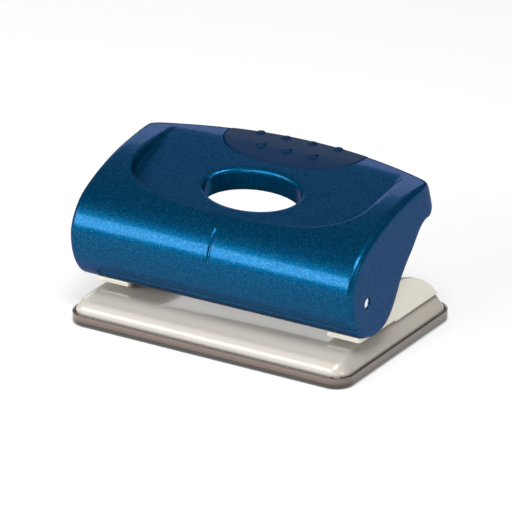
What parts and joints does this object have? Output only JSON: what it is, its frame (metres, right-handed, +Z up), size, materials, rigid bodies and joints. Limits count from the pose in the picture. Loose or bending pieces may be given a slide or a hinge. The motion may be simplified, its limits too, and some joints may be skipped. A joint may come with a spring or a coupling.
{
  "type": "hole punch",
  "caption": "Desk hole punch with a wide moulded handle, a finger hole and a soft grip pad on top, sprung punching pins under it, a pressed steel base and a chip tray.",
  "frame": {"origin": "bottom centre of the chip tray, on the surface that the punch stands on", "axes": "+X to the right of a person feeding paper in at the front, +Y to the rear, +Z up"},
  "size_m": [0.0976, 0.066, 0.0514],
  "materials": {
    "blue_paint": "deep metallic blue lacquer with fine sparkle, glossy",
    "blue_grip": "satin soft-touch inlay, a little darker than the handle",
    "grey_enamel": "glossy light warm grey stoved enamel on pressed steel",
    "plated_steel": "smooth light coat on folded steel, satin gloss",
    "smoked_plastic": "smoky brown see-through plastic, glossy",
    "bright_steel": "ground and polished steel",
    "spring_steel": "oiled spring steel, smooth"
  },
  "bodies": {
    "base": {"base_plate": "grey_enamel", "pivot_rod": "bright_steel", "bracket_left": "plated_steel", "rod_clip_left": "spring_steel", "rivet_left_front": "plated_steel", "rivet_left_rear": "plated_steel", "guide_bush_left": "bright_steel", "die_bush_left": "bright_steel", "return_spring_left": "spring_steel", "bracket_right": "plated_steel", "rod_clip_right": "spring_steel", "rivet_right_front": "plated_steel", "rivet_right_rear": "plated_steel", "guide_bush_right": "bright_steel", "die_bush_right": "bright_steel", "return_spring_right": "spring_steel"},
    "handle": {"handle_shell": "blue_paint", "grip_pad": "blue_grip", "pressure_bar": "bright_steel"},
    "left_pin": {"punch_pin_left": "bright_steel", "retaining_clip_left": "spring_steel", "spring_washer_left": "plated_steel"},
    "right_pin": {"punch_pin_right": "bright_steel", "retaining_clip_right": "spring_steel", "spring_washer_right": "plated_steel"},
    "tray": {"chip_tray": "smoked_plastic"}
  },
  "joints": [
    {"name": "handle_press", "type": "hinge", "parent": "base", "child": "handle", "pos_m": [0, -0.02025, 0.0237], "axis": [-1, 0, 0], "range_deg": [0, 23], "stiffness_Nm_per_rad": 0.3, "springref_deg": -20.05},
    {"name": "left_pin_slide", "type": "slide", "parent": "base", "child": "left_pin", "axis": [0, 0, -1], "range_m": [0, 0.0042], "deforming": ["return_spring_left"]},
    {"name": "right_pin_slide", "type": "slide", "parent": "base", "child": "right_pin", "axis": [0, 0, -1], "range_m": [0, 0.0042], "deforming": ["return_spring_right"]},
    {"name": "tray_pull", "type": "slide", "parent": "base", "child": "tray", "axis": [0, 0, -1], "range_m": [0, 0.02]}
  ],
  "couplings": [
    {"joint": "left_pin_slide", "follows": "handle_press", "m_per_rad": 0.0104},
    {"joint": "right_pin_slide", "follows": "handle_press", "m_per_rad": 0.0104}
  ]
}
